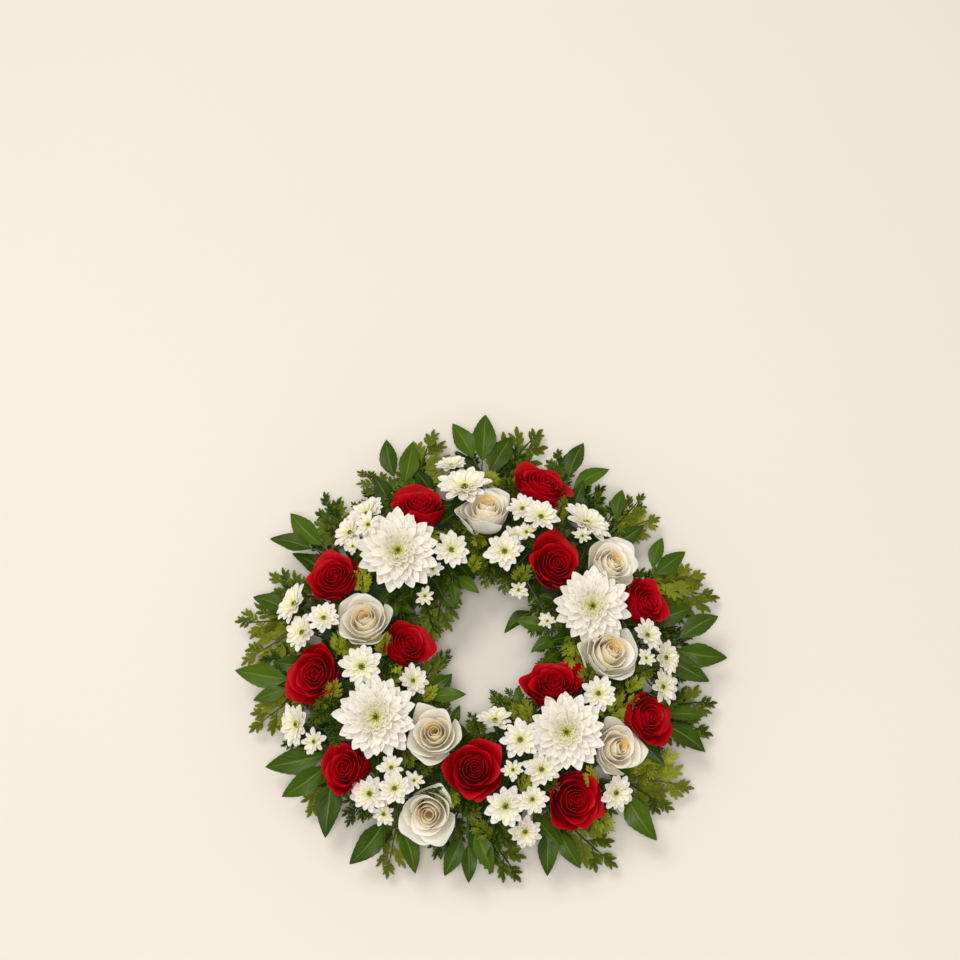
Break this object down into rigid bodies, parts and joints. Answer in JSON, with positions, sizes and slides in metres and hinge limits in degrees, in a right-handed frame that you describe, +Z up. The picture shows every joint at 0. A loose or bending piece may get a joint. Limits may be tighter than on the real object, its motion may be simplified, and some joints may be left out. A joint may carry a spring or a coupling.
{
  "type": "funeral wreath",
  "caption": "Round funeral wreath lying on its back: a tray ring of flower foam dressed with red and white roses, chrysanthemums and mixed greenery round an open middle.",
  "frame": {"origin": "middle of the overall box in X and Y, on the surface that the tray's flat underside rests on", "axes": "+Z up out of the flowers, +Y to the wreath's top as it is shown, +X to its right"},
  "size_m": [0.5468, 0.5326, 0.1082],
  "materials": {
    "tray_plastic": "moulded dark green plastic",
    "flower_foam": "soaked green flower foam",
    "red_petal": "velvety red rose petals on green stems",
    "white_petal": "soft cream-white rose petals on green stems",
    "chrysanthemum_petal": "white chrysanthemum petals round yellow-green eyes",
    "greenery": "glossy broad leaves and matt yellow-green fern sprigs"
  },
  "bodies": {
    "root": {"backing_tray": "tray_plastic", "foam_ring": "flower_foam", "chrysanthemum_01": "chrysanthemum_petal", "chrysanthemum_02": "chrysanthemum_petal", "chrysanthemum_03": "chrysanthemum_petal", "chrysanthemum_04": "chrysanthemum_petal", "white_rose_01": "white_petal", "white_rose_02": "white_petal", "white_rose_03": "white_petal", "white_rose_04": "white_petal", "white_rose_05": "white_petal", "white_rose_06": "white_petal", "white_rose_07": "white_petal", "red_rose_01": "red_petal", "red_rose_02": "red_petal", "red_rose_03": "red_petal", "red_rose_04": "red_petal", "red_rose_05": "red_petal", "red_rose_06": "red_petal", "red_rose_07": "red_petal", "red_rose_08": "red_petal", "red_rose_09": "red_petal", "red_rose_10": "red_petal", "red_rose_11": "red_petal", "red_rose_12": "red_petal", "spray_chrysanthemum_01": "chrysanthemum_petal", "spray_chrysanthemum_02": "chrysanthemum_petal", "spray_chrysanthemum_03": "chrysanthemum_petal", "spray_chrysanthemum_04": "chrysanthemum_petal", "spray_chrysanthemum_05": "chrysanthemum_petal", "spray_chrysanthemum_06": "chrysanthemum_petal", "spray_chrysanthemum_07": "chrysanthemum_petal", "spray_chrysanthemum_08": "chrysanthemum_petal", "spray_chrysanthemum_09": "chrysanthemum_petal", "spray_chrysanthemum_10": "chrysanthemum_petal", "spray_chrysanthemum_11": "chrysanthemum_petal", "spray_chrysanthemum_12": "chrysanthemum_petal", "spray_chrysanthemum_13": "chrysanthemum_petal", "spray_chrysanthemum_14": "chrysanthemum_petal", "spray_chrysanthemum_15": "chrysanthemum_petal", "spray_chrysanthemum_16": "chrysanthemum_petal", "outer_greenery_01": "greenery", "outer_greenery_02": "greenery", "outer_greenery_03": "greenery", "outer_greenery_04": "greenery", "outer_greenery_05": "greenery", "outer_greenery_06": "greenery", "outer_greenery_07": "greenery", "outer_greenery_08": "greenery", "outer_greenery_09": "greenery", "outer_greenery_10": "greenery", "outer_greenery_11": "greenery", "outer_greenery_12": "greenery", "outer_greenery_13": "greenery", "outer_greenery_14": "greenery", "outer_greenery_15": "greenery", "inner_greenery_01": "greenery", "inner_greenery_02": "greenery", "inner_greenery_03": "greenery", "inner_greenery_04": "greenery"}
  },
  "joints": []
}
